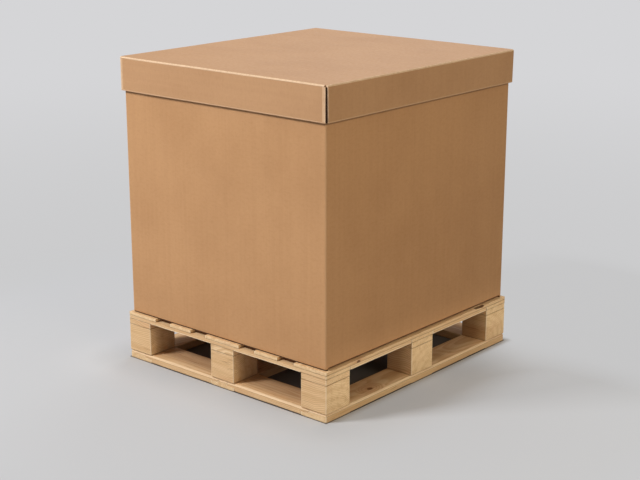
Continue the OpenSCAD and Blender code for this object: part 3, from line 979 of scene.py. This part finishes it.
def lid_marks(polygon):
    """The lid's painted highlight on a face, and whether the face takes the painted shade of a slit."""
    normal, at = polygon.normal, polygon.center
    slope = abs(normal.z)
    on_fold = at.z > LID_HIGH.z - LID_FOLD_H and 0.1 < slope < 0.97
    on_lower_edge = at.z < LID_LOW.z + LID_STRIP_H and slope < 0.97
    beside_corner = slope < 0.3 and abs(at.x) > LID_HIGH.x - LID_STRIP_W and abs(normal.y) > 0.3
    on_corner = beside_corner and abs(normal.x) > 0.12

    at_slit = abs(normal.y) > 0.9 and abs(at.x) > LID_HIGH.x - LID_T
    at_slit = at_slit and LID_HIGH.y - SLIT_Y < abs(at.y) < LID_HIGH.y - SLIT_END
    raw_end = at_slit and at.y * normal.y > 0
    behind_slit = at_slit and not raw_end
    in_corner = LID_HIGH.x - SLIT_X < abs(at.x) < LID_HIGH.x - SLIT_DEPTH
    in_corner = in_corner and abs(at.y) > LID_HIGH.y - SLIT_Y and at.z < SLIT_START
    faces_out = abs(normal.x) > 0.7 and at.x * normal.x > 0
    on_tab = in_corner and faces_out and not raw_end

    # Painted highlight on folds, beside and at corners, on raw slit ends and along lower edges
    wear_and_highlight = 0.0
    if beside_corner:
        wear_and_highlight = 0.4
    if on_lower_edge:
        wear_and_highlight = 0.26
    if on_corner or raw_end:
        wear_and_highlight = 0.75
    if on_fold:
        wear_and_highlight = 0.9
    # Painted shade on the faces inside a corner slit
    return wear_and_highlight, (1.0 if on_tab or behind_slit else 0.0)


def open_slits(bm):
    """Moves the ends of the long flanges away from the corners, more so further down."""
    end_y = max(abs(v.co.y) for v in bm.verts if abs(v.co.x) > LID_HIGH.x - TOUCH)
    for v in bm.verts:
        if abs(v.co.x) > LID_HIGH.x - LID_T - TOUCH and abs(abs(v.co.y) - end_y) < TOUCH:
            down = (LID_HIGH.z - v.co.z) / (LID_HIGH.z - LID_LOW.z)
            v.co.y -= math.copysign(SLIT_TOP + SLIT_SPREAD * down, v.co.y)
    bm.normal_update()


def make_lid(material):
    """The lid, with rounded lower edges, painted highlight and corner slits that widen downwards."""
    bm = copy_of("lid")
    open_slits(bm)
    low_edges = [e for e in bm.edges if is_sharp(e) and max(v.co.z for v in e.verts) < LID_LOW.z + TOUCH]
    wear_edges(bm, low_edges, LID_EDGE_WEAR, LID_EDGE_PROFILE)
    for axis in (X, Y):
        slice_along(bm, axis, PANEL_SLICE)
    cut_across(bm, Z, LID_LOW.z + LID_STRIP_H)
    for side in (-1, 1):
        cut_across(bm, X, side * (LID_HIGH.x - LID_STRIP_W))
    warp_panels(bm, PANEL_WAVE, PANEL_SEED)
    mesh = finish_piece("lid_board", bm, "lid", material)
    write_sheet(mesh, lid_place, is_lid_cut, lid_marks)


# Flaps

# The faces of a flap's cut end lie within this distance of its tip
FLAP_END = 30 * MM
# A flap's fold starts at this share of the way from the box's middle to its outer side
FLAP_FOLD = 0.98


def make_flap(node, flutes_along, material):
    """A bottom flap, with its cut edges round three sides."""
    low, high = (Vector(v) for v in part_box(node))
    across = Y if flutes_along == X else X
    inner_end, crease = sorted((low[flutes_along], high[flutes_along]), key=abs)

    def place(point, polygon, raw):
        if raw:
            end = abs(polygon.normal[flutes_along]) > 0.7
            along = point[across] if end else point[flutes_along]
            return along, point.z - low.z, 1.0 if end else 0.0
        return point[across], point[flutes_along], 0.0

    def is_cut(polygon):
        """Whether a face is a level cut edge, and not one where the fold or the crease turns up or down."""
        if abs(polygon.normal[across]) > 0.7:
            return True
        return abs(polygon.normal.z) < 0.3 and abs(polygon.center[flutes_along] - inner_end) < FLAP_END

    def mark(polygon):
        at_fold = abs(polygon.center[flutes_along]) > FLAP_FOLD * abs(crease)
        # Painted contact shade on the underside of the fold
        return 0.0, 0.7 if at_fold and polygon.normal.z < -0.08 else 0.0

    bm = copy_of(node)
    for axis in (X, Y):
        slice_along(bm, axis, PANEL_SLICE)
    mesh = finish_piece(node + "_board", bm, node, material)
    write_sheet(mesh, place, is_cut, mark)


# Surroundings

BACKDROP = linear(213, 213, 215)
FLOOR = linear(203, 203, 204)
FLOOR_HALF = 14.0
# The floor's colour: painted shadow under the box, lighter painted shade beside it, plain further out
FLOOR_PAINTED_SHADOW = linear(88, 84, 82)
FLOOR_PAINTED_SHADE = linear(190, 191, 193)
FLOOR_NEAR = linear(206, 208, 211)
# Distances from the middle of the box over which the plain floor takes the backdrop's colour
BACKDROP_FADE = (0.8, 6.0)
# Distances from the box's outline over which one colour of the floor gives way to the next
CONTACT_FADE = (0.0, 4 * MM)
BESIDE_FADE = (0.0, 0.16)
# Distances from the box's outline over which the plain floor comes in, part of the way and then altogether
PLAIN_FADE = (0.0, 0.28)
PLAIN_ONLY_FADE = (0.15, 1.1)
# The same behind the box, and the places along Y over which that begins
BEHIND_FADE = (0.0, 0.03)
BEHIND_Y = (0.1, 0.5)
WORLD_LIGHT = 0.24

# The lamps: name, place, aim, size, watts, colour, and the angle in degrees over which its light spreads
BOX_MIDDLE = (0, 0, 0.45)
LAMPS = [
    ("key_left", (-2.5, -4.3, 4.3), BOX_MIDDLE, (1.3, 1.3), 306, (0.985, 0.99, 1.02), 180),
    ("top_light", (-1.2, 2.2, 3.0), BOX_MIDDLE, (2.0, 2.0), 38, (1.0, 1.0, 1.0), 180),
    ("warm_fill", (3.8, -0.8, 2.6), BOX_MIDDLE, (2.0, 2.0), 46, (1.0, 0.82, 0.5), 180),
    ("low_bounce", (0.8, 0.06, 0.28), (0.4, 0.06, 0.09), (1.0, 0.06), 0.1, (1.0, 1.0, 0.98), 32),
]


def ray_share(tree):
    """1 for rays from the camera, and for those that gloss or glass sends on, else 0."""
    path = add(tree, "LightPath").outputs
    seen = calc(tree, "MAXIMUM", path["Is Camera Ray"], path["Is Glossy Ray"])
    return calc(tree, "MAXIMUM", seen, path["Is Transmission Ray"])


def make_floor_material():
    """A pale floor that fades into the backdrop's colour, with the box's shadow and painted shadow by it.
    """
    tree, shader, material = new_material("pale_floor")
    shader.inputs["Roughness"].default_value = 0.9
    shader.inputs["Specular IOR Level"].default_value = 0.1
    place = add(tree, "TexCoord").outputs["Object"]
    distance = vector_calc(tree, "LENGTH", place)
    outside = vector_calc(tree, "SUBTRACT", vector_calc(tree, "ABSOLUTE", place), cad_box[1])
    outside = vector_calc(tree, "LENGTH", vector_calc(tree, "MAXIMUM", outside, (0, 0, 0)))

    far_colour = blend(tree, spread(tree, distance, *BACKDROP_FADE), FLOOR, BACKDROP)
    plain = add(tree, "Emission", {"Color": far_colour})
    # Painted shadow under the box and painted shade beside it
    painted_floor = blend(tree, spread(tree, outside, *BESIDE_FADE), FLOOR_PAINTED_SHADE, FLOOR_NEAR)
    painted_floor = blend(tree, spread(tree, outside, *CONTACT_FADE), FLOOR_PAINTED_SHADOW, painted_floor)
    connect(tree, shader, Base_Color=painted_floor)

    # The plain colour takes over with the distance from the box, and sooner behind it
    near_share = spread(tree, outside, *PLAIN_FADE, 0.0, 0.62)
    share = calc(tree, "MAXIMUM", near_share, spread(tree, outside, *PLAIN_ONLY_FADE))
    split = add(tree, "SeparateXYZ", {0: place})
    beyond = spread(tree, outside, *BEHIND_FADE)
    behind = spread(tree, split.outputs[Y], *BEHIND_Y, 0.3, 0.88)
    share = calc(tree, "MAXIMUM", share, times(tree, behind, beyond))
    share = times(tree, share, ray_share(tree))
    mixed = add(tree, "MixShader", {0: share, 1: shader.outputs[0], 2: plain.outputs[0]})
    tree.links.new(mixed.outputs[0], tree.nodes["Material Output"].inputs["Surface"])
    return material


def make_floor():
    bm = bmesh.new()
    bmesh.ops.create_grid(bm, x_segments=8, y_segments=8, size=FLOOR_HALF)
    mesh = bpy.data.meshes.new("floor")
    bm.to_mesh(mesh)
    bm.free()
    mesh.materials.append(make_floor_material())
    floor = bpy.data.objects.new("floor", mesh)
    bpy.context.scene.collection.objects.link(floor)


def add_softbox(name, at, aim, size, watts, colour, spread_deg):
    lamp = bpy.data.lights.new(name, "AREA")
    lamp.shape = "RECTANGLE"
    lamp.spread = math.radians(spread_deg)
    lamp.size, lamp.size_y = size
    lamp.energy = watts
    lamp.color = colour
    holder = bpy.data.objects.new(name, lamp)
    holder.location = at
    holder.rotation_euler = (Vector(aim) - Vector(at)).to_track_quat("-Z", "Y").to_euler()
    bpy.context.scene.collection.objects.link(holder)


def light_scene():
    """A world that lights evenly and shows the backdrop's colour, and the lamps."""
    world = bpy.data.worlds.new("studio")
    bpy.context.scene.world = world
    world.use_nodes = True
    tree = world.node_tree
    seen = add(tree, "Background", {"Color": BACKDROP, "Strength": 1.0})
    lighting = tree.nodes["Background"]
    lighting.inputs["Color"].default_value = (1.0, 1.0, 1.0, 1.0)
    lighting.inputs["Strength"].default_value = WORLD_LIGHT
    mixed = add(tree, "MixShader", {0: ray_share(tree), 1: lighting.outputs[0], 2: seen.outputs[0]})
    tree.links.new(mixed.outputs[0], tree.nodes["World Output"].inputs["Surface"])
    for lamp in LAMPS:
        add_softbox(*lamp)


make_camera()
light_scene()
make_floor()

# Each pine takes the colours of its pale wood, its rings and its knots
board_pine = make_pine("board_pine", linear(233, 197, 151), linear(200, 153, 101), linear(92, 52, 28),
                       ring_width=3.4 * MM, waviness=1.4)
block_pine = make_pine("block_pine", linear(233, 197, 150), linear(194, 147, 95), linear(104, 62, 34),
                       ring_width=4.6 * MM, waviness=8.0)
# Each kraft takes the colours of its face and its specks
sleeve_kraft = make_kraft("sleeve_kraft", linear(196, 149, 104), linear(150, 104, 62),
                          COARSE_PITCH, SLEEVE_T)
lid_kraft = make_kraft("lid_kraft", linear(194, 150, 109), linear(152, 107, 68), FINE_PITCH, LID_T)
nail_steel = make_nail_steel()

for node in NODES:
    if SLOT_OF[node] == "board_wood":
        make_wood(node, board_pine)
    elif SLOT_OF[node] == "block_wood":
        make_wood(node, block_pine)
    elif SLOT_OF[node] == "steel":
        NODES[node].material_slots[0].material = nail_steel

make_sleeve(sleeve_kraft)
make_lid(lid_kraft)
for side in ("left", "right"):
    make_flap("outer_flap_" + side, X, sleeve_kraft)
for side in ("front", "back"):
    make_flap("inner_flap_" + side, Y, sleeve_kraft)

view = bpy.context.scene.view_settings
view.view_transform = "Standard"
